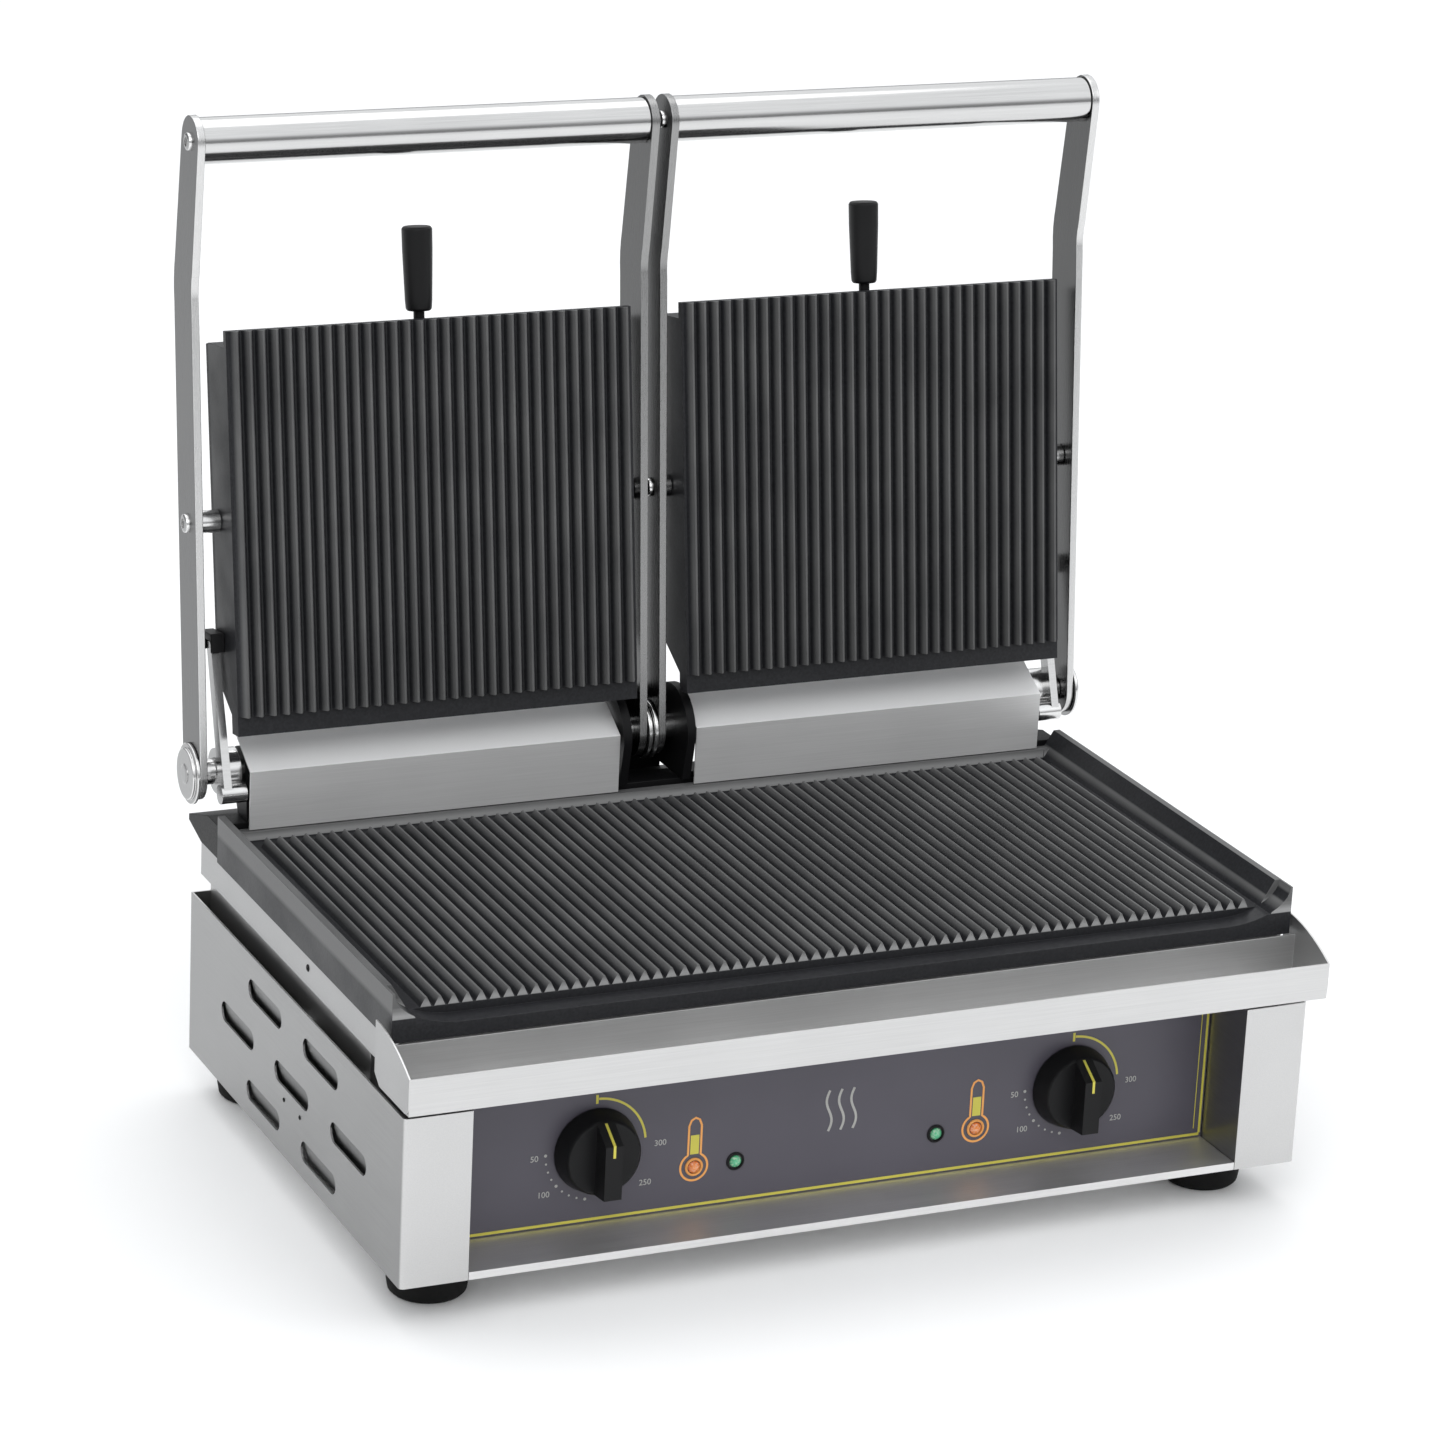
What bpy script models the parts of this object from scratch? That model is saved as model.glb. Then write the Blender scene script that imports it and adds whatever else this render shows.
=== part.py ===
"""Double contact grill: ribbed lower plate, two hinged lids with floating ribbed upper plates.

World frame: metres, +Z up, origin on the ground under the middle of the body, front towards -Y.
Lengths below are millimetres; the helpers turn them into metres.
Each lid is described in its own plane: `along` runs up the arms from the hinge, `back` runs away
from the cooking face, and both start on the hinge axis.
"""
import math

import bmesh
import bpy
from mathutils import Matrix, Vector

MM = 0.001
GAP = 0.3  # between two pieces that touch on the real grill

# Body
BODY_HALF = 290.0
FRONT = -186.0
BACK = 187.0
BOTTOM = 26.0
SIDE_TOP = 130.0
SHEET = 1.2
POST_W = 41.5
RECESS = 42.0
LEDGE_Z = 30.8
RETURN_BACK = -140.0  # where the sheet that walls the control recess ends
CHASSIS_X = 280.0
CHASSIS_FRONT = -105.0
CHASSIS_BACK = 180.0
CHASSIS_TOP = 141.0
SKIRT_X = 284.0
SKIRT_FRONT = -158.4
SKIRT_TOP = 164.7

# Louvres of the side panels: rows from the top, each with its places along the body
LOUVRE_ROWS = ((109.0, (48.0, -49.5)), (76.0, (96.5, -1.0, -98.5)), (43.5, (48.0, -49.5)))
LOUVRE_L = 60.0
LOUVRE_H = 13.0
LOUVRE_IN = 3.6  # how far the blades slope into the body

# Lower plate
RIB_PITCH = 8.36
LOWER_RIBS = 64
RIB_H = 6.0
CREST_Z = 185.0
CREST_W = 1.2
STEP = 0.5  # the plain margins lie this far below the valleys between ribs
PLATE_X = 288.8
PLATE_FRONT = -160.0
PLATE_BACK = 143.0
PLATE_BASE = 165.0
RIM_TOP = 195.0
RIM_W = 4.5
RIB_FRONT = -146.0
RIB_BACK = 125.0
LIP_DROP = 11.0
LIP_RISE_W = 42.0

# Grease gutter
GUTTER_X = 293.6
GUTTER_BACK = -160.0
GUTTER_FRONT = -201.0
GUTTER_FLOOR = 138.0
LIP_TOP = 160.4
CHEEK_BACK = -147.0
CHEEK_TOP = 175.5

# Control panel
KNOB_X = 155.0
KNOB_Z = 76.5
LAMP_Z = 57.0
LAMP_XS = (-92.0, -65.5, 65.5, 92.0)
KNOB_R = 26.0
KNOB_DEPTH = 28.0
KNOB_BAR = 11.0
SPINDLE_R = 3.0

# Lids
HINGE_Y = 163.0
HINGE_Z = 217.0
LEAN = 0.1  # radians the open lid leans back
PLATE_LEAN = 0.1487  # radians an open plate leans back; it turns level as the lid closes
SHAFT_R = 8.0
RUNNING = 0.08
DISC_R = 19.0
ARM_W = 33.0
ARM_T = 5.0
ARM_OUTER = 299.0
ARM_INNER = 4.0
BEND_ALONG = 300.0
TUBE_Y = 183.0
TUBE_Z = 604.0
TUBE_R = 14.0
TUBE_WALL = 1.5
FACE_BACK = -31.0
UPPER_LO = 26.2
UPPER_HI = 272.0
UPPER_STRIP = 12.0  # plain strip below the ribs
SHOULDER_HI = 262.0  # the casting behind its front slab ends lower
SHOULDER_BACK = -20.0
UPPER_X0 = 17.0
UPPER_X1 = 279.0
UPPER_RIBS = 31
UPPER_PITCH = 8.4
CASTING_BACK = 9.0
LID_BACK = 16.0
PIN_ALONG = 155.0
PIN_R = 5.0
GRIP_X = 150.0
GRIP_BACK = -9.0

# Covers, beam, brackets
COVER_X0 = 26.0
COVER_X1 = 270.0
COVER_Y = 138.0
COVER_Z0 = 185.5
COVER_FOLD = 223.0
BEAM_FRONT = 145.0
BEAM_TOP = 188.0
EAR_X = 19.0  # inner ear of each hinge bracket
EAR_R = 28.0

FOOT_X = 254.0
FOOT_YS = (-137.0, 163.5)
FOOT_R = 24.0

PARTS = "contact_grill"
CUTTERS = "contact_grill_cutters"

STEEL = ("stainless", (0.62, 0.62, 0.61), 0.32, 1.0)
POLISHED = ("polished_steel", (0.75, 0.75, 0.74), 0.15, 1.0)
IRON = ("enamelled_iron", (0.028, 0.029, 0.032), 0.45, 0.0)
BLACK = ("black_sheet", (0.012, 0.012, 0.013), 0.5, 0.0)
FASCIA = ("fascia", (0.085, 0.08, 0.105), 0.45, 0.0)
PLASTIC = ("black_plastic", (0.015, 0.015, 0.016), 0.4, 0.0)
RUBBER = ("rubber", (0.012, 0.012, 0.012), 0.8, 0.0)
ELEMENT = ("element_sheath", (0.12, 0.11, 0.10), 0.5, 1.0)
SPRING = ("spring_steel", (0.35, 0.35, 0.36), 0.35, 1.0)
AMBER = ("amber_lens", (0.95, 0.35, 0.04), 0.2, 0.0)
GREEN = ("green_lens", (0.10, 0.55, 0.12), 0.2, 0.0)


def clear_scene():
    for obj in list(bpy.data.objects):
        bpy.data.objects.remove(obj, do_unlink=True)


def collection(name):
    found = bpy.data.collections.get(name)
    if found is None:
        found = bpy.data.collections.new(name)
        bpy.context.scene.collection.children.link(found)
    return found


def material(spec):
    name, color, rough, metal = spec
    found = bpy.data.materials.get(name)
    if found:
        return found
    mat = bpy.data.materials.new(name)
    mat.use_nodes = True
    shader = mat.node_tree.nodes["Principled BSDF"]
    shader.inputs["Base Color"].default_value = (*color, 1.0)
    shader.inputs["Roughness"].default_value = rough
    shader.inputs["Metallic"].default_value = metal
    mat.diffuse_color = (*color, 1.0)
    return mat


def part(name, mesh, spec, origin=(0.0, 0.0, 0.0), on_plate=False):
    """One node. Its mesh and its origin are in world millimetres, or with on_plate in the plate's plane, where
    y runs back and z up the plate."""
    mesh.transform(Matrix.Scale(MM, 4) @ Matrix.Translation(-Vector(origin)))
    obj = bpy.data.objects.new(name, mesh)
    if on_plate:
        place_on_plate(obj, origin)
    else:
        obj.location = Vector(origin) * MM
    own = material(spec).copy()
    own.name = name
    mesh.materials.clear()
    mesh.materials.append(own)
    collection(PARTS).objects.link(obj)
    return obj


def cutter(name, mesh, on_plate=False):
    mesh.transform(Matrix.Scale(MM, 4))
    obj = bpy.data.objects.new(name, mesh)
    if on_plate:
        place_on_plate(obj, (0.0, 0.0, 0.0))
    obj.hide_render = True
    obj.display_type = "WIRE"
    collection(CUTTERS).objects.link(obj)
    return obj


def boolean(obj, mesh, operation="DIFFERENCE", on_plate=False):
    """Cut an object with a mesh, or join the two. The mesh is placed as in part()."""
    tool = cutter(f"{obj.name}_tool_{len(obj.modifiers)}", mesh, on_plate)
    mod = obj.modifiers.new(f"{operation.lower()}_{len(obj.modifiers)}", "BOOLEAN")
    mod.operation = operation
    mod.solver = "EXACT"
    mod.use_self = True
    mod.object = tool
    return obj


def finish_mesh(bm, name):
    bmesh.ops.recalc_face_normals(bm, faces=bm.faces)
    mesh = bpy.data.meshes.new(name)
    bm.to_mesh(mesh)
    bm.free()
    return mesh


def boxes(*ranges):
    """One mesh of boxes, each given as (x0, x1, y0, y1, z0, z1)."""
    bm = bmesh.new()
    for x0, x1, y0, y1, z0, z1 in ranges:
        middle = Vector(((x0 + x1) / 2, (y0 + y1) / 2, (z0 + z1) / 2))
        size = Matrix.Diagonal((x1 - x0, y1 - y0, z1 - z0, 1.0))
        bmesh.ops.create_cube(bm, size=1.0, matrix=Matrix.Translation(middle) @ size)
    return finish_mesh(bm, "boxes")


def rods(radius, *spans, sides=32, radius2=None):
    """One mesh of cylinders (or cones), each from one point to another."""
    bm = bmesh.new()
    for start, end in spans:
        a, b = Vector(start), Vector(end)
        turn = (b - a).to_track_quat("Z", "Y").to_matrix().to_4x4()
        where = Matrix.Translation((a + b) / 2) @ turn
        top = radius if radius2 is None else radius2
        bmesh.ops.create_cone(bm, cap_ends=True, segments=sides, radius1=radius, radius2=top,
                              depth=(b - a).length, matrix=where)
    return finish_mesh(bm, "rods")


TURNS = {
    # outline (u, v) and its extrusion go to these world axes
    "X": Matrix(((0, 0, 1, 0), (1, 0, 0, 0), (0, 1, 0, 0), (0, 0, 0, 1))),
    "Y": Matrix(((1, 0, 0, 0), (0, 0, -1, 0), (0, 1, 0, 0), (0, 0, 0, 1))),
    "Z": Matrix.Identity(4),
}


def outline(points, axis, start, end, holes=()):
    """A flat outline, as a filled 2D curve, extruded along a world axis from start to end."""
    curve = bpy.data.curves.new("outline", "CURVE")
    curve.dimensions = "2D"
    curve.fill_mode = "BOTH"
    curve.extrude = abs(end - start) / 2
    for loop in (points, *holes):
        spline = curve.splines.new("POLY")
        spline.points.add(len(loop) - 1)
        for point, (u, v) in zip(spline.points, loop):
            point.co = (u, v, 0.0, 1.0)
        spline.use_cyclic_u = True
    helper = bpy.data.objects.new("outline", curve)
    bpy.context.scene.collection.objects.link(helper)
    bpy.context.view_layer.update()
    graph = bpy.context.evaluated_depsgraph_get()
    mesh = bpy.data.meshes.new_from_object(helper.evaluated_get(graph))
    bpy.data.objects.remove(helper, do_unlink=True)
    bpy.data.curves.remove(curve)
    bm = bmesh.new()
    bm.from_mesh(mesh)
    bpy.data.meshes.remove(mesh)
    bmesh.ops.remove_doubles(bm, verts=bm.verts, dist=0.001)
    bmesh.ops.dissolve_limit(bm, angle_limit=0.001, verts=bm.verts, edges=bm.edges)
    middle = (start + end) / 2
    shift = {"X": (middle, 0, 0), "Y": (0, middle, 0), "Z": (0, 0, middle)}[axis]
    bmesh.ops.transform(bm, matrix=Matrix.Translation(shift) @ TURNS[axis], verts=bm.verts)
    return finish_mesh(bm, "outline")


def arc(center, radius, start, end, steps):
    """Points of an arc, angles in degrees from the outline's u axis."""
    turns = [math.radians(start + (end - start) * i / steps) for i in range(steps + 1)]
    return [(center[0] + radius * math.cos(t), center[1] + radius * math.sin(t)) for t in turns]


def circle(center, radius, steps=48):
    return arc(center, radius, 0.0, 360.0 - 360.0 / steps, steps - 1)


def turned(profile, spec, name, origin, axis, steps=32):
    """A turned piece: a profile of (radius, distance along the axis) and a Screw modifier."""
    mesh = bpy.data.meshes.new(name)
    bm = bmesh.new()
    verts = [bm.verts.new((radius, 0.0, along)) for radius, along in profile]
    for a, b in zip(verts, verts[1:]):
        bm.edges.new((a, b))
    bm.to_mesh(mesh)
    bm.free()
    mesh.transform(Matrix.Scale(MM, 4))
    mesh.materials.append(material(spec).copy())
    mesh.materials[0].name = name
    obj = bpy.data.objects.new(name, mesh)
    obj.location = Vector(origin) * MM
    obj.rotation_euler = Vector(axis).to_track_quat("Z", "Y").to_euler()
    screw = obj.modifiers.new("turn", "SCREW")
    screw.steps = steps
    screw.render_steps = steps
    screw.use_merge_vertices = True
    screw.merge_threshold = 0.00001
    collection(PARTS).objects.link(obj)
    return obj


def wire(name, points, radius, spec, steps=2):
    """A bent round wire or tube: a poly curve with a round bevel and filled ends."""
    curve = bpy.data.curves.new(name, "CURVE")
    curve.dimensions = "3D"
    curve.resolution_u = 1
    curve.bevel_depth = radius * MM
    curve.bevel_resolution = steps
    curve.use_fill_caps = True
    spline = curve.splines.new("POLY")
    spline.points.add(len(points) - 1)
    for point, place in zip(spline.points, points):
        point.co = (*(Vector(place) * MM), 1.0)
    obj = bpy.data.objects.new(name, curve)
    own = material(spec).copy()
    own.name = name
    curve.materials.append(own)
    collection(PARTS).objects.link(obj)
    return obj


def lid_point(along, back):
    """World (y, z) of a place in the lid's plane."""
    return (HINGE_Y + along * math.sin(LEAN) + back * math.cos(LEAN),
            HINGE_Z + along * math.cos(LEAN) - back * math.sin(LEAN))


def plate_point(along, back):
    """World (y, z) of a place in the open plate's plane, which is the lid's turned about the side pins."""
    y, z = lid_point(PIN_ALONG, 0.0)
    up = along - PIN_ALONG
    return (y + up * math.sin(PLATE_LEAN) + back * math.cos(PLATE_LEAN),
            z + up * math.cos(PLATE_LEAN) - back * math.sin(PLATE_LEAN))


def place_on_plate(obj, origin):
    """Put an object whose mesh is in the plate's plane into the open plate's place."""
    x, back, along = origin
    obj.location = Vector((x, *plate_point(along, back))) * MM
    obj.rotation_euler = (-PLATE_LEAN, 0.0, 0.0)


HINGE = (0.0, HINGE_Y, HINGE_Z)
PIN = (0.0, 0.0, PIN_ALONG)  # in the plate's plane


# ---------------------------------------------------------------- body

def base_pan():
    width = BODY_HALF - SHEET - GAP
    ledge_half = BODY_HALF - POST_W - GAP
    front, rear = FRONT + SHEET + GAP, BACK - SHEET - GAP
    step = RETURN_BACK + GAP
    half = [(width, rear), (width, step), (ledge_half, step), (ledge_half, front)]
    floor = [*half, *[(-x, y) for x, y in reversed(half)]]
    pan = part("base_pan", outline(floor, "Z", BOTTOM, BOTTOM + SHEET), STEEL)
    back = FRONT + RECESS + 3.0
    ledge = [(FRONT, BOTTOM), (FRONT, LEDGE_Z), (back, LEDGE_Z), (back, LEDGE_Z - SHEET),
             (FRONT + SHEET, LEDGE_Z - SHEET), (FRONT + SHEET, BOTTOM + SHEET / 2),
             (FRONT + 4 * SHEET, BOTTOM + SHEET / 2), (FRONT + 4 * SHEET, BOTTOM)]
    boolean(pan, outline(ledge, "X", -ledge_half, ledge_half), "UNION")
    return pan


def louvre_cuts(side):
    """Round-ended openings through a side panel."""
    face = side * BODY_HALF
    bm = bmesh.new()
    radius = LOUVRE_H / 2
    reach = LOUVRE_L / 2 - radius
    for row_z, places in LOUVRE_ROWS:
        for y in places:
            loop = [*arc((y + reach, row_z), radius, -90.0, 90.0, 8), *arc((y - reach, row_z), radius, 90.0, 270.0, 8)]
            cut = outline(loop, "X", *sorted((face - side * 3 * SHEET, face + side * SHEET)))
            bm.from_mesh(cut)
    return finish_mesh(bm, "openings")


def louvre_blades(side):
    """A blade behind each opening, sloping in and down from the sheet above it."""
    inner = BODY_HALF - SHEET
    bm = bmesh.new()
    for row_z, places in LOUVRE_ROWS:
        top, low = row_z + LOUVRE_H / 2, row_z - LOUVRE_H / 2
        blade = [(inner - 0.9, top + 2.0), (inner + 0.5, top + 2.0), (inner + 0.5, top + 0.4),
                 (inner - LOUVRE_IN + 0.9, low - 1.0), (inner - LOUVRE_IN, low - 1.0)]
        for y in places:
            ends = (y - LOUVRE_L / 2 + 2.0, y + LOUVRE_L / 2 - 2.0)
            bm.from_mesh(outline([(side * x, z) for x, z in blade], "Y", *ends))
    return finish_mesh(bm, "blades")


def side_panel(name, side):
    """One sheet: side wall, rounded front edge, post face and return wall of the control recess."""
    outer, inner = BODY_HALF, BODY_HALF - SHEET
    bend = 3.0
    wall_back = BACK
    post_in = BODY_HALF - POST_W
    back = RETURN_BACK
    corner = arc((outer - bend, FRONT + bend), bend, 0.0, -90.0, 4)
    sheet = [(outer, wall_back), *corner, (post_in, FRONT), (post_in, back), (post_in + SHEET, back),
             (post_in + SHEET, FRONT + SHEET), (inner, FRONT + SHEET), (inner, wall_back)]
    sheet = [(side * x, y) for x, y in sheet]
    panel = part(name, outline(sheet, "Z", BOTTOM, SIDE_TOP), STEEL)
    boolean(panel, louvre_cuts(side))
    boolean(panel, louvre_blades(side), "UNION")
    return panel


def back_panel():
    width = BODY_HALF - SHEET - GAP
    sheet = boxes((-width, width, BACK - SHEET, BACK, BOTTOM + SHEET + GAP, SIDE_TOP))
    panel = part("back_panel", sheet, STEEL)
    slots = [(x - 2.0, x + 2.0, BACK - 5.0, BACK + 5.0, 60.0, 105.0) for x in range(-150, 151, 20)]
    boolean(panel, boxes(*slots))
    boolean(panel, rods(8.4, ((220.0, BACK - 5.0, 60.0), (220.0, BACK + 5.0, 60.0)), sides=32))
    return panel


def ring(name, half, front, back, low, high, thick, spec):
    """A four-walled sheet frame, open above and below."""
    outer = [(-half, front), (half, front), (half, back), (-half, back)]
    t = thick
    inner = [(-half + t, front + t), (-half + t, back - t), (half - t, back - t), (half - t, front + t)]
    return part(name, outline(outer, "Z", low, high, holes=(inner,)), spec)


def plate_skirt():
    skirt = ring("plate_skirt", SKIRT_X, SKIRT_FRONT, BACK, CHASSIS_TOP + GAP, SKIRT_TOP, SHEET, STEEL)
    flange = [(-SKIRT_X + 0.5, SKIRT_FRONT + 0.5), (SKIRT_X - 0.5, SKIRT_FRONT + 0.5),
              (SKIRT_X - 0.5, BACK - 0.5), (-SKIRT_X + 0.5, BACK - 0.5)]
    inset = 10.0
    mouth = [(-SKIRT_X + inset, CHASSIS_FRONT + 5.0), (-SKIRT_X + inset, BACK - inset - 5.0),
             (SKIRT_X - inset, BACK - inset - 5.0), (SKIRT_X - inset, CHASSIS_FRONT + 5.0)]
    low = CHASSIS_TOP + GAP
    boolean(skirt, outline(flange, "Z", low, low + SHEET, holes=(mouth,)), "UNION")
    return skirt


def front_gutter():
    """U-shaped channel with a curved cheek at each end."""
    half, t = GUTTER_X, SHEET
    channel = [(GUTTER_BACK, PLATE_BASE - 0.6), (GUTTER_BACK, GUTTER_FLOOR), (GUTTER_FRONT, GUTTER_FLOOR),
               (GUTTER_FRONT, LIP_TOP), (GUTTER_FRONT + t, LIP_TOP), (GUTTER_FRONT + t, GUTTER_FLOOR + t),
               (GUTTER_BACK - t, GUTTER_FLOOR + t), (GUTTER_BACK - t, PLATE_BASE - 0.6)]
    gutter = part("front_gutter", outline(channel, "X", -half + 0.4, half - 0.4), STEEL)
    reach = GUTTER_FRONT - CHEEK_BACK
    top = []
    for i in range(9):
        k = i / 8
        top.append((CHEEK_BACK + reach * k, CHEEK_TOP - (CHEEK_TOP - LIP_TOP) * k * k))
    low_corner = arc((GUTTER_FRONT + 6.0, GUTTER_FLOOR + 6.0), 6.0, 180.0, 270.0, 4)
    cheek = [*top, *low_corner, (CHEEK_BACK - 8.0, GUTTER_FLOOR), (CHEEK_BACK, GUTTER_FLOOR + 6.0)]
    for side in (-1, 1):
        ends = sorted((side * half, side * (half - t)))
        boolean(gutter, outline(cheek, "X", *ends), "UNION")
    return gutter


def control_panel():
    half = BODY_HALF - POST_W - GAP
    y0 = FRONT + RECESS
    panel = part("control_panel", boxes((-half, half, y0, y0 + 1.5, LEDGE_Z + GAP, 136.0)), FASCIA)
    lamp_holes = [((x, y0 - 5.0, LAMP_Z), (x, y0 + 5.0, LAMP_Z)) for x in LAMP_XS]
    knob_holes = [((x, y0 - 5.0, KNOB_Z), (x, y0 + 5.0, KNOB_Z)) for x in (-KNOB_X, KNOB_X)]
    boolean(panel, rods(3.3, *lamp_holes, sides=24))
    boolean(panel, rods(SPINDLE_R + 1.0, *knob_holes, sides=24))
    return panel


# ---------------------------------------------------------------- plates

def rib_line(count, pitch, middle, crest, valley):
    """Zigzag of a ribbed face, left to right, starting and ending in a valley."""
    line = []
    start = middle - count * pitch / 2
    for i in range(count):
        x = start + (i + 0.5) * pitch
        foot = pitch / 2 - CREST_W / 2
        line += [(x - foot, valley), (x - CREST_W / 2, crest), (x + CREST_W / 2, crest), (x + foot, valley)]
    return line


def lower_plate():
    floor_z = CREST_Z - RIB_H
    edge = LOWER_RIBS * RIB_PITCH / 2 + 7.0
    wall_in = PLATE_X - RIM_W
    section = [(-PLATE_X, PLATE_BASE), (-PLATE_X, RIM_TOP), (-wall_in, RIM_TOP), (-edge, floor_z)]
    section += rib_line(LOWER_RIBS, RIB_PITCH, 0.0, CREST_Z, floor_z)
    section += [(edge, floor_z), (wall_in, RIM_TOP), (PLATE_X, RIM_TOP), (PLATE_X, PLATE_BASE)]
    plate = part("lower_plate", outline(section, "Y", PLATE_FRONT, PLATE_BACK), IRON)
    under = (-PLATE_X + 8.0, PLATE_X - 8.0, PLATE_FRONT + 8.0, PLATE_BACK - 8.0, PLATE_BASE - 5.0, floor_z - 8.0)
    boolean(plate, boxes(under))
    gutter = (-edge, edge, RIB_BACK, PLATE_BACK - 6.5, floor_z - STEP, RIM_TOP + 5.0)
    wall = boxes((-PLATE_X + 1.0, PLATE_X - 1.0, PLATE_BACK - 7.0, PLATE_BACK, floor_z - 3.0, CREST_Z))
    boolean(plate, wall, "UNION")
    boolean(plate, boxes(gutter))
    lip_z = CREST_Z - LIP_DROP
    rise = [(PLATE_X - 1.5 - LIP_RISE_W * (1 - math.sin(t)), lip_z + (RIM_TOP - lip_z) * (1 - math.cos(t)))
            for t in [math.radians(90.0 * i / 10) for i in range(11)]]
    mouth = [*[(-x, z) for x, z in rise], (-PLATE_X + 1.5, RIM_TOP + 9.0), (PLATE_X - 1.5, RIM_TOP + 9.0),
             *reversed(rise)]
    boolean(plate, outline(mouth, "Y", PLATE_FRONT - 5.0, RIB_FRONT))
    return plate


def element_path(x0, x1, y0, y1, z, loops):
    """Serpentine of a tubular element, with both ends at the y1 side."""
    step = (x1 - x0) / (2 * loops - 1)
    radius = step / 2
    path = []
    for i in range(2 * loops):
        x = x0 + i * step
        near, far = (y1, y0) if i % 2 == 0 else (y0, y1)
        inner = y0 + radius if y0 < y1 else y0 - radius
        outer = y1 - radius if y0 < y1 else y1 + radius
        first = y1 if i == 0 else (outer if near == y1 else inner)
        last = y1 if i == 2 * loops - 1 else (outer if far == y1 else inner)
        path += [(x, first, z), (x, last, z)]
        if i < 2 * loops - 1:
            center_y = inner if far == y0 else outer
            turn = -1.0 if far == y0 else 1.0
            for k in range(1, 6):
                t = math.pi * k / 6
                path.append((x + radius - radius * math.cos(t), center_y + turn * radius * math.sin(t), z))
    return path


def heating_elements():
    z = CREST_Z - RIB_H - 8.0 - GAP - 3.3
    wire("lower_element", element_path(-262.0, 262.0, -135.0, 118.0, z, 4), 3.2, ELEMENT)
    for name, side in (("left", -1), ("right", 1)):
        path = []
        for x, along, back in element_path(40.0, 256.0, 245.0, 82.0, FACE_BACK + 16.0 + GAP + 3.3, 2):
            path.append((side * x, *plate_point(along, back)))
        wire(f"{name}_upper_element", path, 3.2, ELEMENT)


def upper_outline_cut(obj):
    """Chamfer across the lower rear corner of a lid's plate, the same for casting and cover."""
    wedge = [(-13.0, 20.0), (-13.0, 38.0), (LID_BACK + 8.0, 66.0), (LID_BACK + 8.0, 20.0)]
    return boolean(obj, outline(wedge, "X", -ARM_OUTER, ARM_OUTER), on_plate=True)


def upper_plate(name, side):
    x0, x1 = (-UPPER_X1, -UPPER_X0) if side < 0 else (UPPER_X0, UPPER_X1)
    middle = (x0 + x1) / 2
    valley = FACE_BACK + RIB_H
    section = [(x0, CASTING_BACK), (x0, valley)]
    section += rib_line(UPPER_RIBS, UPPER_PITCH, middle, FACE_BACK, valley)
    section += [(x1, valley), (x1, CASTING_BACK)]
    plate = part(name, outline(section, "Z", UPPER_LO, UPPER_HI), IRON, PIN, on_plate=True)
    shoulder = (x0 - 1.0, x1 + 1.0, SHOULDER_BACK, CASTING_BACK + 5.0, SHOULDER_HI, UPPER_HI + 5.0)
    boolean(plate, boxes(shoulder), on_plate=True)
    wall = 8.0
    pocket = (x0 + wall, x1 - wall, FACE_BACK + 16.0, CASTING_BACK + 5.0, 74.0, SHOULDER_HI - wall)
    boolean(plate, boxes(pocket), on_plate=True)
    strip = (x0 - 1.0, x1 + 1.0, FACE_BACK - 5.0, valley + STEP, UPPER_LO - 5.0, UPPER_LO + UPPER_STRIP)
    boolean(plate, boxes(strip), on_plate=True)
    upper_outline_cut(plate)
    _, y, z = PIN
    bore = rods(PIN_R + RUNNING, ((x0 - 5.0, y, z), (x0 + wall + 5.0, y, z)),
                ((x1 - wall - 5.0, y, z), (x1 + 5.0, y, z)), sides=48)
    boolean(plate, bore, on_plate=True)
    return plate


def upper_cover(name, side):
    x0, x1 = (-UPPER_X1, -UPPER_X0) if side < 0 else (UPPER_X0, UPPER_X1)
    low, high = UPPER_LO + 6.0, SHOULDER_HI - 1.0
    slab = boxes((x0 + 0.8, x1 - 0.8, CASTING_BACK + GAP, LID_BACK, low, high))
    cover = part(name, slab, BLACK, PIN, on_plate=True)
    hollow = boxes((x0 + 3.0, x1 - 3.0, CASTING_BACK - 5.0, LID_BACK - 2.0, 90.0, high - 3.0))
    boolean(cover, hollow, on_plate=True)
    upper_outline_cut(cover)
    return cover


def grip(name, side):
    """Tapered grip on a thin neck, standing on the shoulder behind the plate's front slab."""
    profile = [(0.0, 64.5), (8.2, 64.5), (9.4, 63.0), (9.3, 50.0), (8.4, 20.0), (8.0, 14.5),
               (7.0, 13.2), (3.4, 13.2), (3.4, 0.0), (0.0, 0.0)]
    y, z = plate_point(SHOULDER_HI + GAP, GRIP_BACK)
    axis = (0.0, math.sin(PLATE_LEAN), math.cos(PLATE_LEAN))
    return turned(profile, PLASTIC, name, (side * GRIP_X, y, z), axis)


# ---------------------------------------------------------------- hinges and lids

def hinge_beam():
    """Beam across the back, with a low guard behind the middle of the hinge."""
    profile = [(BEAM_FRONT, 166.5), (BEAM_FRONT, BEAM_TOP), (164.0, BEAM_TOP), (200.0, 177.0), (200.0, 173.0),
               (176.0, 166.5)]
    beam = part("hinge_beam", outline(profile, "X", -288.0, 288.0), BLACK)
    return boolean(beam, boxes((-COVER_X0, COVER_X0, 192.0, 194.5, 175.0, 236.0)), "UNION")


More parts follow.
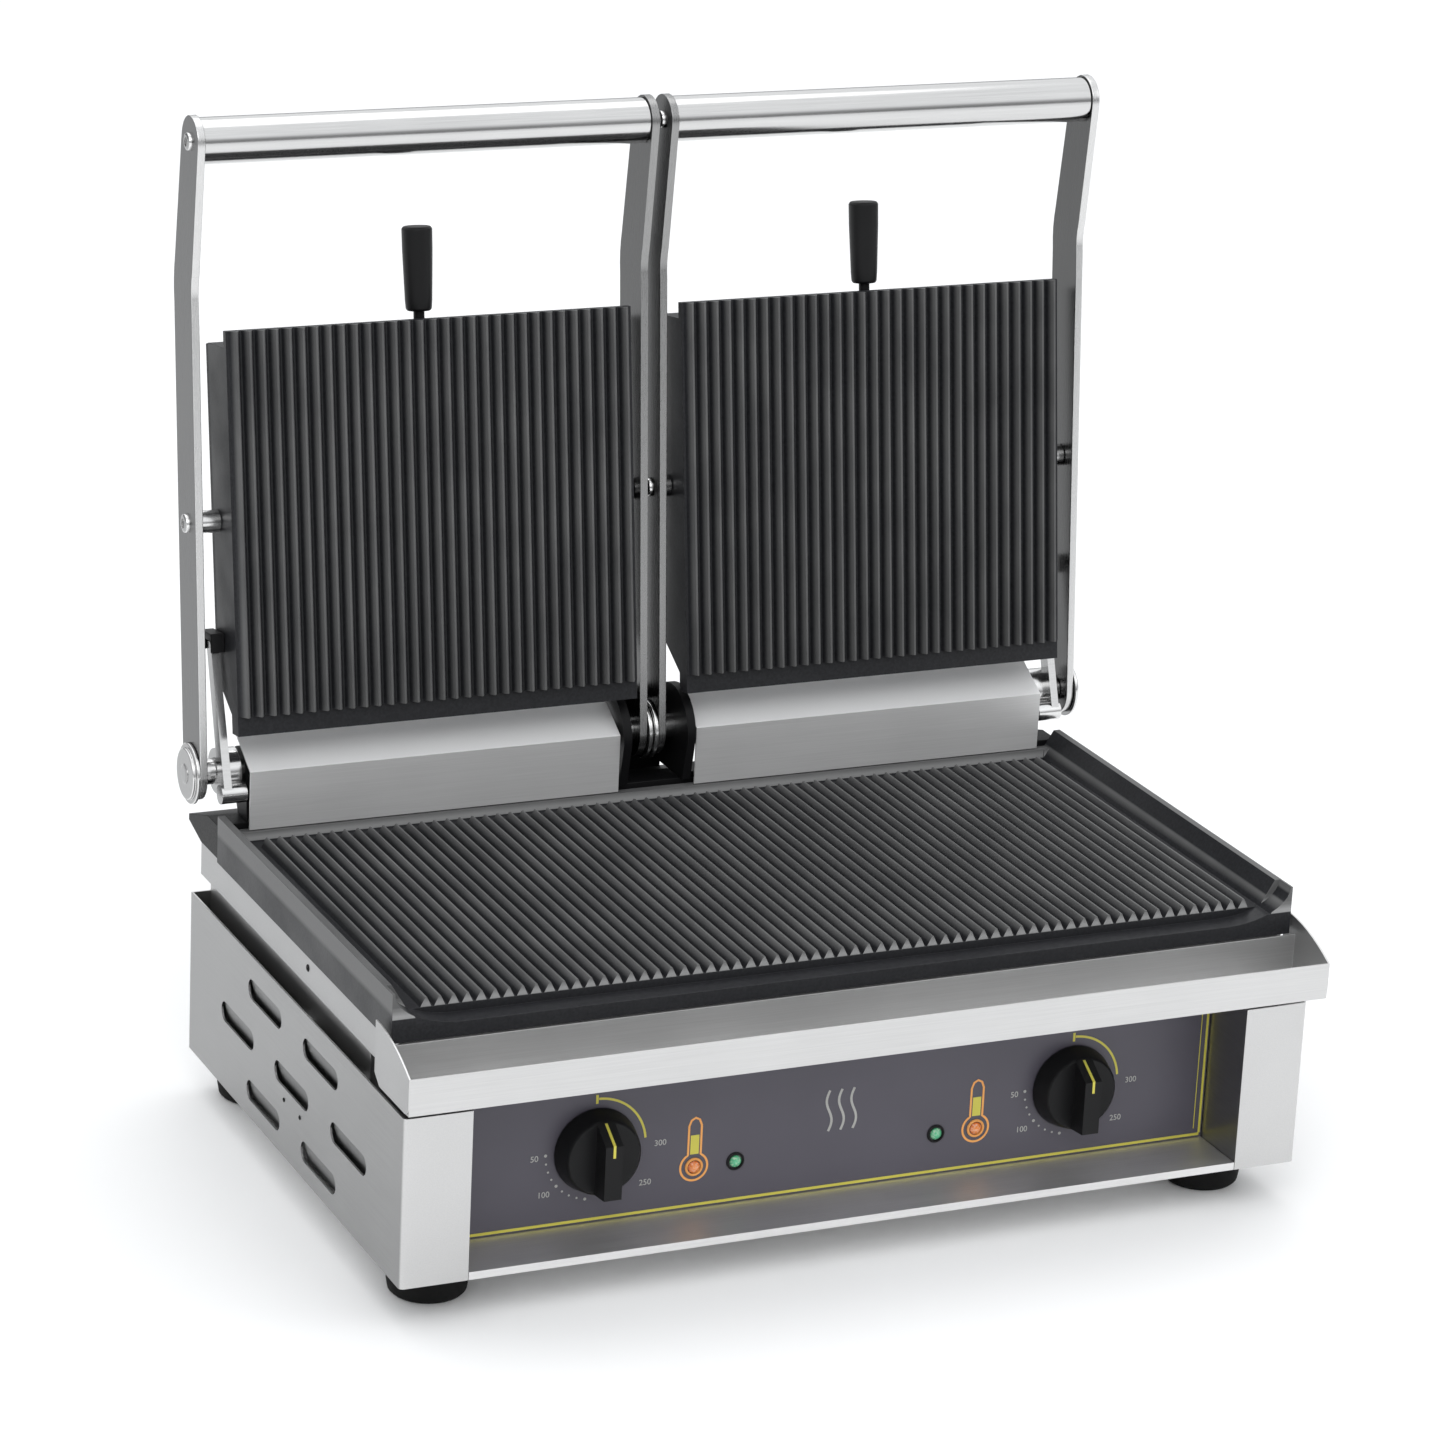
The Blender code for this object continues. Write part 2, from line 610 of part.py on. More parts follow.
def hinge_bracket(name, side):
    """Strap on the beam with an upright ear at each end: a broad one in the middle gap of the grill."""
    low = BEAM_TOP + GAP
    x1 = COVER_X1 - 1.0
    strap = sorted((side * EAR_X, side * x1))
    bracket = part(name, boxes((*strap, BEAM_FRONT + 1.0, 163.0, low, low + 3.0)), BLACK)
    for near, thick, radius, toe, heel in ((EAR_X, 5.5, EAR_R, 141.0, 188.0),
                                           (x1 - 6.0, 6.0, 14.0, BEAM_FRONT + 1.0, 163.0)):
        ear = [(toe, low), *arc((HINGE_Y, HINGE_Z), radius, 180.0, -10.0, 14), (heel, low)]
        ends = sorted((side * near, side * (near + thick)))
        boolean(bracket, outline(ear, "X", *ends), "UNION")
    bore = rods(SHAFT_R + RUNNING, ((-300.0, HINGE_Y, HINGE_Z), (300.0, HINGE_Y, HINGE_Z)), sides=48)
    boolean(bracket, bore)
    return bracket


def hinge_cover(name, side):
    t = SHEET
    top_y, top_z = 166.5, 239.1
    profile = [(COVER_Y, COVER_Z0), (COVER_Y, COVER_FOLD), (top_y, top_z), (top_y + 0.4, top_z - t),
               (COVER_Y + t, COVER_FOLD - 0.6), (COVER_Y + t, COVER_Z0)]
    ends = sorted((side * COVER_X0, side * COVER_X1))
    return part(name, outline(profile, "X", *ends), STEEL)


def counter_spring(name, side):
    """Closed-wound counterbalance spring around the hinge shaft, inside the cover."""
    turns, per_turn = 14, 12
    wire_r, coil_r = 1.3, 11.3
    x0, pitch = 60.0, 4.2
    path = []
    for i in range(turns * per_turn + 1):
        t = 2 * math.pi * i / per_turn
        place = (side * (x0 + pitch * i / per_turn), HINGE_Y + coil_r * math.cos(t), HINGE_Z + coil_r * math.sin(t))
        path.append(place)
    return wire(name, path, wire_r, SPRING, steps=1)


def hinge_shaft(name, side):
    """Headed shaft: the disc head bears on the inner arm and the shank runs to the outer arm."""
    head = ARM_INNER - GAP
    shank = ARM_OUTER - ARM_T - GAP
    profile = [(0.0, shank), (SHAFT_R, shank), (SHAFT_R, head), (DISC_R - 0.8, head), (DISC_R, head - 0.8),
               (DISC_R, 1.4), (DISC_R - 1.0, 0.35), (0.0, 0.35)]
    return turned(profile, POLISHED, name, (0.0, HINGE_Y, HINGE_Z), (side, 0.0, 0.0), steps=48)


def hinge_disc(name, side):
    """Round end disc that bolts the outer arm to the shaft."""
    face = ARM_OUTER + GAP
    profile = [(0.0, face + 5.0), (4.5, face + 5.0), (4.5, face + 4.2), (DISC_R - 3.6, face + 4.2),
               (DISC_R - 3.0, face + 3.6), (DISC_R - 3.0, face + 2.2), (DISC_R - 0.6, face + 2.2),
               (DISC_R, face + 1.6), (DISC_R, face), (0.0, face)]
    return turned(profile, POLISHED, name, (0.0, HINGE_Y, HINGE_Z), (side, 0.0, 0.0), steps=48)


def arm_outline():
    """Bent flat bar: a round foot on the hinge, a straight lower run, a bend, a round head on the tube."""
    foot = Vector((HINGE_Y, HINGE_Z))
    bend = Vector(lid_point(BEND_ALONG, 0.0))
    head = Vector((TUBE_Y, TUBE_Z))
    up = (bend - foot).normalized()
    on = (head - bend).normalized()
    up_angle = math.degrees(math.atan2(up.y, up.x))
    on_angle = math.degrees(math.atan2(on.y, on.x))
    half = ARM_W / 2
    tip = 15.5
    low = arc(foot, half, up_angle - 90.0, up_angle - 270.0, 14)
    high = arc(head, tip, on_angle + 90.0, on_angle - 90.0, 14)
    front, rear = [], []
    for i in range(5):
        turn = math.radians(up_angle + (on_angle - up_angle) * i / 4)
        normal = Vector((-math.sin(turn), math.cos(turn)))
        slide = Vector((math.cos(turn), math.sin(turn))) * (i - 2) * 6.0
        front.append(tuple(bend + slide + normal * half))
        rear.append(tuple(bend + slide - normal * half))
    return [*low, *front, *high, *reversed(rear)]


def lid_arm(name, side, near, bored):
    ends = sorted((side * near, side * (near + ARM_T)))
    holes = (circle((HINGE_Y, HINGE_Z), SHAFT_R + GAP),) if bored else ()
    return part(name, outline(arm_outline(), "X", *ends, holes=holes), POLISHED, HINGE)


def handle_tube(name, side):
    x0, x1 = ARM_INNER + ARM_T + GAP, ARM_OUTER - ARM_T - GAP
    ends = sorted((side * x0, side * x1))
    wall = circle((TUBE_Y, TUBE_Z), TUBE_R, 40)
    bore = circle((TUBE_Y, TUBE_Z), TUBE_R - TUBE_WALL, 40)
    return part(name, outline(wall, "X", *ends, holes=(bore,)), POLISHED, HINGE)


def side_pin(name, side, arm_face, plate_face):
    """Shouldered pin from an arm into the plate's side wall."""
    way = 1.0 if plate_face > arm_face else -1.0
    length = abs(plate_face - arm_face)
    shoulder = length - GAP * 2
    profile = [(0.0, length + 7.0), (PIN_R, length + 7.0), (PIN_R, shoulder), (7.0, shoulder), (7.0, 0.0),
               (0.0, 0.0)]
    start = (side * (arm_face + way * GAP), *lid_point(PIN_ALONG, 0.0))
    return turned(profile, POLISHED, name, start, (side * way, 0.0, 0.0), steps=48)


def stay_rod(name, side):
    """Stay: clamped beside the hinge, its upper end runs in the plate's guide block."""
    x0, x1 = 280.5, 285.5
    foot, tip = Vector((-18.0, -9.0)), Vector((10.8, 76.0))
    along = (tip - foot).normalized()
    angle = math.degrees(math.atan2(along.y, along.x))
    bar = [*arc(foot, 5.5, angle + 90.0, angle + 270.0, 8), *arc(tip, 4.0, angle - 90.0, angle + 90.0, 8)]
    bar = [(HINGE_Y + y, HINGE_Z + z) for y, z in bar]
    stay = part(name, outline(bar, "X", *sorted((side * x0, side * x1))), POLISHED, HINGE)
    collar = outline(circle((HINGE_Y, HINGE_Z), 14.0, 40), "X", *sorted((side * 271.5, side * 284.0)))
    boolean(stay, collar, "UNION")
    boss_y, boss_z = HINGE_Y + foot.x, HINGE_Z + foot.y
    boolean(stay, rods(6.0, ((side * 271.0, boss_y, boss_z), (side * 287.0, boss_y, boss_z)), sides=24), "UNION")
    bore = rods(SHAFT_R + GAP, ((side * 260.0, HINGE_Y, HINGE_Z), (side * 292.0, HINGE_Y, HINGE_Z)), sides=48)
    boolean(stay, bore)
    return stay


def guide_block(name, side):
    """Black block on the plate's side; the stay's tip runs in its open slot and steers the plate."""
    ends = sorted((side * (UPPER_X1 + GAP), side * 288.0))
    block = boxes((*ends, -5.2, 15.4, 75.0, 87.0))
    obj = part(name, block, PLASTIC, PIN, on_plate=True)
    slot = sorted((side * (UPPER_X1 + 1.0), side * 295.0))
    boolean(obj, boxes((*slot, -3.2, 13.4, 60.0, 82.5)), on_plate=True)
    return obj


# ---------------------------------------------------------------- controls, feet, services

def knob(name, side):
    """Round knob with a grip bar that slopes off at its pointer end, and its spindle."""
    face = FRONT + RECESS
    shoulder = KNOB_R - 2.5
    profile = [(0.0, 14.0), (shoulder - 1.5, 14.0), (shoulder, 12.5), (KNOB_R, 2.0),
               (KNOB_R, 0.6), (SPINDLE_R, 0.6), (SPINDLE_R, -8.0), (0.0, -8.0)]
    obj = turned(profile, PLASTIC, name, (side * KNOB_X, face, KNOB_Z), (0.0, -1.0, 0.0))
    crest = face - KNOB_DEPTH
    bar = [(face - 10.0, KNOB_Z - shoulder + 1.0), (crest, KNOB_Z - shoulder + 3.0), (crest, KNOB_Z + KNOB_R / 2),
           (face - 13.0, KNOB_Z + shoulder - 1.0), (face - 10.0, KNOB_Z + shoulder - 1.0)]
    middle = side * KNOB_X
    return boolean(obj, outline(bar, "X", middle - KNOB_BAR / 2, middle + KNOB_BAR / 2), "UNION")


def thermostat(name, side):
    face = FRONT + RECESS + 1.5 + GAP
    x = side * KNOB_X
    body = part(name, boxes((x - 17.0, x + 17.0, face, face + 24.0, KNOB_Z - 17.0, KNOB_Z + 17.0)), BLACK)
    socket = rods(SPINDLE_R + RUNNING, ((x, face - 5.0, KNOB_Z), (x, face + 12.0, KNOB_Z)), sides=32)
    return boolean(body, socket)


def lamp(name, x, spec):
    """Pilot lamp: a domed lens in front of the panel and a short barrel through it."""
    face = FRONT + RECESS
    profile = [(0.0, 2.6), (1.6, 2.3), (3.2, 1.4), (4.0, 0.3), (3.0, 0.3), (3.0, -7.0), (0.0, -7.0)]
    return turned(profile, spec, name, (x, face, LAMP_Z), (0.0, -1.0, 0.0), steps=24)


def foot(name, x, y):
    top = BOTTOM - GAP
    profile = [(0.0, top), (FOOT_R - 3.0, top), (FOOT_R - 1.0, top - 1.5), (FOOT_R, 8.0), (FOOT_R - 1.0, 2.0),
               (FOOT_R - 3.0, 0.0), (0.0, 0.0)]
    return turned(profile, RUBBER, name, (x, y, 0.0), (0.0, 0.0, 1.0), steps=40)


def cable_gland():
    """Cord inlet at the back: a nut outside and a threaded barrel through the panel."""
    profile = [(4.0, -6.5), (8.0, -6.5), (8.0, 0.3), (11.0, 0.3), (11.0, 6.0), (9.0, 12.0), (6.5, 14.0),
               (4.0, 14.0), (4.0, -6.5)]
    return turned(profile[::-1], PLASTIC, "cable_gland", (220.0, BACK, 60.0), (0.0, 1.0, 0.0), steps=24)


def main():
    clear_scene()
    base_pan()
    ring("inner_chassis", CHASSIS_X, CHASSIS_FRONT, CHASSIS_BACK, BOTTOM + SHEET + GAP, CHASSIS_TOP, 1.5, BLACK)
    back_panel()
    plate_skirt()
    front_gutter()
    control_panel()
    lower_plate()
    heating_elements()
    hinge_beam()
    for word, side in (("left", -1), ("right", 1)):
        side_panel(f"{word}_side_panel", side)
        hinge_bracket(f"{word}_hinge_bracket", side)
        hinge_cover(f"{word}_hinge_cover", side)
        counter_spring(f"{word}_counter_spring", side)
        hinge_shaft(f"{word}_hinge_shaft", side)
        hinge_disc(f"{word}_hinge_disc", side)
        lid_arm(f"{word}_outer_arm", side, ARM_OUTER - ARM_T, False)
        lid_arm(f"{word}_inner_arm", side, ARM_INNER, True)
        handle_tube(f"{word}_handle_tube", side)
        upper_plate(f"{word}_upper_plate", side)
        upper_cover(f"{word}_upper_cover", side)
        grip(f"{word}_grip", side)
        side_pin(f"{word}_outer_pin", side, ARM_OUTER - ARM_T, UPPER_X1)
        side_pin(f"{word}_inner_pin", side, ARM_INNER + ARM_T, UPPER_X0)
        stay_rod(f"{word}_stay_rod", side)
        guide_block(f"{word}_guide_block", side)
        knob(f"{word}_knob", side)
        thermostat(f"{word}_thermostat", side)
    for word, x, spec in zip(("left_heat", "left_power", "right_power", "right_heat"), LAMP_XS,
                             (AMBER, GREEN, GREEN, AMBER)):
        lamp(f"{word}_lamp", x, spec)
    for word, x, y in (("front_left", -1, 0), ("front_right", 1, 0), ("rear_left", -1, 1), ("rear_right", 1, 1)):
        foot(f"{word}_foot", x * FOOT_X, FOOT_YS[y])
    cable_gland()


main()
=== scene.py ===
"""Double contact grill: finishes, fine detail, floor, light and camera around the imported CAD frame.

The constants at the top are millimetres in the CAD frame, and LEAN and PLATE_LEAN are radians. MM turns
millimetres into metres. Heights in the enamels, the lights and the camera's place are metres.
"""
import math

import bmesh
import bpy
from mathutils import Matrix, Vector


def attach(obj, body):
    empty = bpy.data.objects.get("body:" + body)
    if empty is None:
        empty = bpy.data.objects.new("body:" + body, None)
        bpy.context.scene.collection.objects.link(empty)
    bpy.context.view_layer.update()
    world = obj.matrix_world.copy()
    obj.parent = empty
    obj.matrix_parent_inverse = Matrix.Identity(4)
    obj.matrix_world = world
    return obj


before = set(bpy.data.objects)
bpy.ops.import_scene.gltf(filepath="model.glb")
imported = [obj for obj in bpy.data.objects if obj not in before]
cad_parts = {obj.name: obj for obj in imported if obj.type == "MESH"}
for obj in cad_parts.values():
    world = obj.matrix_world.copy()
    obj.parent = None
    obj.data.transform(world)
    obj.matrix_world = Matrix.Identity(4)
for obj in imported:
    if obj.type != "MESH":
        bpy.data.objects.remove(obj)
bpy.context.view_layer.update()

MM = 0.001
SIDES = (("left", -1), ("right", 1))

# Places of the CAD model that the detail pieces sit on
PANEL_Y = -144.0
KNOB_X, KNOB_Z, KNOB_R, KNOB_DEPTH = 155.0, 76.5, 26.0, 28.0
LAMP_Z = 57.0
HEAT_X, POWER_X = 92.0, 65.5
BEZEL_R = 4.2
PANEL_X = 248.2
LEDGE_Z = 30.8
HINGE_Y, HINGE_Z, LEAN = 163.0, 217.0, 0.1
PIN_ALONG, PLATE_LEAN = 155.0, 0.1487
TUBE_Y, TUBE_Z = 183.0, 604.0
ARM_OUTER, ARM_INNER = 299.0, 4.0
BODY_X = 290.0
SKIRT_X = 284.0
DISC_FACE = 303.5
BACK_Y = 187.0
PRINT = 0.15  # thickness of the printed marks


# ---------------------------------------------------------------- node materials

class Nodes:
    """A material's node tree with short calls for the nodes used here."""

    def __init__(self, name):
        self.mat = bpy.data.materials.new(name)
        self.mat.use_nodes = True
        self.tree = self.mat.node_tree
        self.shader = self.tree.nodes["Principled BSDF"]
        self.coords = self.add("ShaderNodeTexCoord").outputs["Object"]

    def add(self, kind, **settings):
        node = self.tree.nodes.new(kind)
        for key, value in settings.items():
            setattr(node, key, value)
        return node

    def link(self, source, target):
        self.tree.links.new(source, target)

    def noise(self, scale, stretch=(1, 1, 1), detail=3.0, rough=0.5):
        mapping = self.add("ShaderNodeMapping")
        mapping.inputs["Scale"].default_value = stretch
        self.link(self.coords, mapping.inputs["Vector"])
        node = self.add("ShaderNodeTexNoise")
        node.inputs["Scale"].default_value = scale
        node.inputs["Detail"].default_value = detail
        node.inputs["Roughness"].default_value = rough
        self.link(mapping.outputs["Vector"], node.inputs["Vector"])
        return node.outputs["Fac"]

    def span(self, value, low, high, to_low=0.0, to_high=1.0):
        """Map a value from low..high to to_low..to_high, clamped."""
        node = self.add("ShaderNodeMapRange")
        self.link(value, node.inputs["Value"])
        for key, number in (("From Min", low), ("From Max", high), ("To Min", to_low), ("To Max", to_high)):
            node.inputs[key].default_value = number
        return node.outputs["Result"]

    def math(self, operation, a, b=None):
        node = self.add("ShaderNodeMath", operation=operation)
        for slot, value in enumerate((a, b)):
            if value is None:
                continue
            if isinstance(value, (int, float)):
                node.inputs[slot].default_value = value
            else:
                self.link(value, node.inputs[slot])
        return node.outputs["Value"]

    def dot(self, vector, direction):
        node = self.add("ShaderNodeVectorMath", operation="DOT_PRODUCT")
        self.link(vector, node.inputs[0])
        node.inputs[1].default_value = direction
        return node.outputs["Value"]

    def mix(self, amount, one, two):
        node = self.add("ShaderNodeMix", data_type="RGBA")
        self.link(amount, node.inputs["Factor"])
        for key, value in (("A", one), ("B", two)):
            socket = next(s for s in node.inputs if s.name == key and s.type == "RGBA")
            if isinstance(value, tuple):
                socket.default_value = (*value, 1.0)
            else:
                self.link(value, socket)
        return next(s for s in node.outputs if s.type == "RGBA")

    def bump(self, height, strength, distance):
        node = self.add("ShaderNodeBump")
        node.inputs["Strength"].default_value = strength
        node.inputs["Distance"].default_value = distance
        self.link(height, node.inputs["Height"])
        self.link(node.outputs["Normal"], self.shader.inputs["Normal"])

    def set(self, **values):
        for key, value in values.items():
            self.shader.inputs[key.replace("_", " ")].default_value = value

    def normal(self):
        return self.add("ShaderNodeNewGeometry").outputs["Normal"]


def grey(value, warm=0.0):
    return (value * (1 + warm), value, value * (1 - warm))


def steel(name, light, dark, rough, brush, fleck=0.05, painted_side_shade=None, bump=0.06, metallic=1.0, painted_lean_tone=None):
    """Brushed steel: fine streaks along `brush` and faint soft clouds. Faces across X can take a painted shade,
    and faces that lean a set way can take a tone of their own: a painted highlight when lighter, a painted shade
    when darker."""
    n = Nodes(name)
    stretch = [1.0, 1.0, 1.0]
    stretch[brush] = 0.012
    streaks = n.noise(1400.0, stretch, detail=4.0, rough=0.65)
    clouds = n.noise(14.0, detail=2.0)
    both = n.math("ADD", n.math("MULTIPLY", streaks, 0.65), n.math("MULTIPLY", clouds, 0.35))
    tone = n.mix(n.span(both, 0.35, 0.65), grey(dark, 0.004), grey(light, 0.004))
    # Painted shade: faces across X take a darker tone.
    if painted_side_shade is not None:
        across = n.math("ABSOLUTE", n.dot(n.normal(), (1.0, 0.0, 0.0)))
        side_shade_tone = n.mix(n.span(both, 0.35, 0.65), grey(painted_side_shade * 0.9), grey(painted_side_shade * 1.1))
        tone = n.mix(n.span(across, 0.75, 0.97), tone, side_shade_tone)
    # Painted highlight and painted shade: faces leaning along the given direction take a set tone.
    if painted_lean_tone is not None:
        direction, low, high, value = painted_lean_tone
        tone = n.mix(n.span(n.dot(n.normal(), direction), low, high), tone, grey(value))
    n.link(tone, n.shader.inputs["Base Color"])
    n.link(n.span(both, 0.3, 0.7, rough - fleck, rough + fleck), n.shader.inputs["Roughness"])
    n.bump(streaks, bump, 0.00004)
    n.set(Metallic=metallic)
    return n.mat


def enamel(name, base, crest, height, low, high, rough=0.42, tray=None):
    """Enamelled cast iron: fine orange peel and a greyer painted sheen near the rib crests. With `tray` (valley
    level, crest level, tone) the ribs' end faces get that tone as a painted highlight and the sloping walls above
    the ribs get no painted sheen."""
    n = Nodes(name)
    point, direction = height
    shift = n.add("ShaderNodeVectorMath", operation="SUBTRACT")
    n.link(n.coords, shift.inputs[0])
    shift.inputs[1].default_value = point
    rise = n.span(n.dot(shift.outputs["Vector"], direction), low, high)
    grain = n.noise(520.0, detail=5.0, rough=0.6)
    sheen_and_gloss_patches = n.noise(22.0, detail=3.0)
    # Painted sheen: the greyer crest tone rises with height over the ribs, in soft patches.
    crest_sheen_mask = n.math("MULTIPLY", rise, n.span(sheen_and_gloss_patches, 0.3, 0.7, 0.65, 1.0))
    speck = n.mix(n.span(grain, 0.35, 0.7), base, tuple(c * 1.7 for c in base))
    if tray is not None:
        floor, top, end_highlight_tone = tray
        level = n.dot(n.coords, (0.0, 0.0, 1.0))
        above = n.span(level, top + 0.0005, top + 0.0015)
        slope = n.span(n.math("ABSOLUTE", n.dot(n.normal(), (1.0, 0.0, 0.0))), 0.5, 0.7)
        rising = n.span(n.dot(n.normal(), (0.0, 0.0, 1.0)), 0.3, 0.4)
        # The sloping walls above the ribs get no painted sheen.
        sheen_allowed = n.math("SUBTRACT", 1.0, n.math("MULTIPLY", above, n.math("MULTIPLY", slope, rising)))
        crest_sheen_mask = n.math("MULTIPLY", crest_sheen_mask, sheen_allowed)
        # Painted highlight: the ribs' end faces, across Y, take the lighter end tone.
        ends = n.span(n.math("ABSOLUTE", n.dot(n.normal(), (0.0, 1.0, 0.0))), 0.75, 0.97)
        ribs = n.math("MULTIPLY", n.span(level, floor, floor + 0.0005), n.math("SUBTRACT", 1.0, above))
        speck = n.mix(n.math("MULTIPLY", ends, ribs), speck, grey(end_highlight_tone))
    n.link(n.mix(crest_sheen_mask, speck, crest), n.shader.inputs["Base Color"])
    n.link(n.span(sheen_and_gloss_patches, 0.3, 0.7, rough - 0.07, rough + 0.08), n.shader.inputs["Roughness"])
    n.bump(grain, 0.35, 0.00012)
    n.set(Metallic=0.0, Specular_IOR_Level=0.25)
    return n.mat


def plain(name, base, rough, grain=900.0, bump=0.2, vary=1.35, metallic=0.0, **more):
    """Moulded or painted surface with a fine grain and a slight change of tone."""
    n = Nodes(name)
    fine = n.noise(grain, detail=4.0)
    wide = n.noise(18.0, detail=2.0)
    tone = n.mix(n.span(wide, 0.3, 0.7), base, tuple(min(1.0, c * vary) for c in base))
    n.link(tone, n.shader.inputs["Base Color"])
    n.link(n.span(fine, 0.3, 0.7, rough - 0.05, rough + 0.07), n.shader.inputs["Roughness"])
    n.bump(fine, bump, 0.00006)
    n.set(Metallic=metallic, **more)
    return n.mat


def pilot_lens(name, base, rim):
    """Faceted pilot lens: brighter where the dome faces the front, with pale flecks."""
    n = Nodes(name)
    facing = n.dot(n.normal(), (0.0, -1.0, 0.0))
    ripple = n.noise(700.0, detail=1.0)
    tone = n.mix(n.span(facing, 0.55, 0.98), rim, base)
    tone = n.mix(n.span(ripple, 0.45, 0.75, 0.0, 0.35), tone, (0.95, 0.9, 0.75))
    n.link(tone, n.shader.inputs["Base Color"])
    n.set(Roughness=0.22, Coat_Weight=0.5)
    return n.mat


FRONT_STEEL = steel("steel_front", 0.62, 0.55, 0.34, 0)
PAN_STEEL = steel("steel_pan", 0.86, 0.78, 0.5, 0)
# Side panels: painted shade over the faces across X, and a darker painted shade on the downward-facing louvre
# blades.
SIDE_STEEL = steel("steel_side", 0.63, 0.56, 0.34, 1, painted_side_shade=0.31,
                   painted_lean_tone=((0.0, 0.0, -1.0), 0.12, 0.19, 0.16))
# Hinge covers: a painted highlight, near white, on faces turned upwards.
COVER_STEEL = steel("steel_cover", 0.64, 0.57, 0.38, 0, metallic=0.3,
                    painted_lean_tone=((0.0, 0.0, 1.0), 0.5, 0.8, 0.92))
# Gutter and skirt: painted shade on faces across X.
GUTTER_STEEL = steel("steel_gutter", 0.66, 0.59, 0.34, 0, painted_side_shade=0.38, metallic=0.8)
INNER_STEEL = steel("steel_inner", 0.50, 0.44, 0.38, 0)
TUBE_STEEL = steel("steel_tube", 0.66, 0.58, 0.16, 0, fleck=0.03, bump=0.03)
# Arms and turned parts: painted shade on faces across X, darkest on the arms' flat sides.
ARM_STEEL = steel("steel_arm", 0.68, 0.60, 0.26, 2, painted_side_shade=0.085)
MIDDLE_ARM_STEEL = steel("steel_middle_arm", 0.34, 0.28, 0.28, 2, painted_side_shade=0.075)
TURNED_STEEL = steel("steel_turned", 0.80, 0.70, 0.20, 0, fleck=0.04, painted_side_shade=0.3)
SPRING_STEEL = steel("steel_spring", 0.40, 0.32, 0.32, 0)
SHEATH = steel("element_sheath", 0.16, 0.10, 0.45, 0)
BACK_NORMAL = (0.0, math.cos(PLATE_LEAN), -math.sin(PLATE_LEAN))
PIN_POINT = (0.0, (HINGE_Y + PIN_ALONG * math.sin(LEAN)) * MM, (HINGE_Z + PIN_ALONG * math.cos(LEAN)) * MM)
IRON = (0.015, 0.0153, 0.0172)
# Grill plates: a grey painted sheen on the rib crests, and a painted highlight on the lower plate's rib ends.
LOWER_IRON = enamel("enamel_lower", IRON, grey(0.135), ((0, 0, 0), (0, 0, 1)), 0.1812, 0.1846,
                    tray=(0.179, 0.185, 0.34))
UPPER_IRON = enamel("enamel_upper", IRON, grey(0.12), (PIN_POINT, BACK_NORMAL), -0.0266, -0.0296)
BLACK_SHEET = plain("black_sheet", (0.006, 0.006, 0.0065), 0.45, Specular_IOR_Level=0.15)
BLACK_PLASTIC = plain("black_plastic", (0.007, 0.007, 0.0075), 0.4, grain=1500.0, bump=0.1,
                      Specular_IOR_Level=0.2)
RUBBER = plain("rubber_sole", (0.010, 0.010, 0.010), 0.75, grain=600.0, bump=0.35, Specular_IOR_Level=0.15)
FASCIA = plain("fascia_film", (0.078, 0.072, 0.092), 0.38, grain=1800.0, bump=0.12, vary=1.12)
YELLOW = plain("print_yellow", (0.62, 0.56, 0.08), 0.45, bump=0.05, vary=1.1)
PALE = plain("print_pale", (0.42, 0.42, 0.40), 0.5, bump=0.05, vary=1.1)
ORANGE = plain("print_orange", (0.85, 0.38, 0.10), 0.45, bump=0.05, vary=1.1)
AMBER = pilot_lens("lens_amber", (0.90, 0.25, 0.03), (0.55, 0.12, 0.02))
GREEN = pilot_lens("lens_green", (0.10, 0.55, 0.28), (0.03, 0.25, 0.10))

FINISHES = {
    "base_pan": PAN_STEEL, "inner_chassis": INNER_STEEL, "back_panel": FRONT_STEEL, "plate_skirt": GUTTER_STEEL,
    "front_gutter": GUTTER_STEEL, "control_panel": FASCIA, "lower_plate": LOWER_IRON, "lower_element": SHEATH,
    "hinge_beam": BLACK_SHEET, "cable_gland": BLACK_PLASTIC, "side_panel": SIDE_STEEL, "foot": RUBBER,
    "hinge_bracket": BLACK_SHEET, "hinge_cover": COVER_STEEL, "counter_spring": SPRING_STEEL,
    "thermostat": BLACK_PLASTIC, "heat_lamp": AMBER, "power_lamp": GREEN, "hinge_shaft": TURNED_STEEL,
    "hinge_disc": TURNED_STEEL, "outer_arm": ARM_STEEL, "inner_arm": MIDDLE_ARM_STEEL, "handle_tube": TUBE_STEEL,
    "outer_pin": TURNED_STEEL, "inner_pin": TURNED_STEEL, "stay_rod": TURNED_STEEL, "upper_plate": UPPER_IRON,
    "upper_cover": BLACK_SHEET, "upper_element": SHEATH, "grip": BLACK_PLASTIC, "guide_block": BLACK_PLASTIC,
    "knob": BLACK_PLASTIC,
}
SOFT_EDGES = {  # millimetres of rounding on a node's sharp edges
    "lower_plate": 0.35, "upper_plate": 0.35, "upper_cover": 0.8, "outer_arm": 0.7, "inner_arm": 0.7, "knob": 0.8,
    "grip": 0.5, "guide_block": 0.6, "front_gutter": 0.3, "plate_skirt": 0.3, "hinge_cover": 0.3,
    "base_pan": 0.3, "stay_rod": 0.6, "hinge_bracket": 0.5, "hinge_beam": 0.5, "control_panel": 0.2,
}
SLOTTED_PANELS = ("side_panel", "back_panel")


def ending(table, node, default=None):
    """The entry whose key ends the node's name."""
    for key, value in table.items():
        if node == key or node.endswith("_" + key):
            return value
    return default


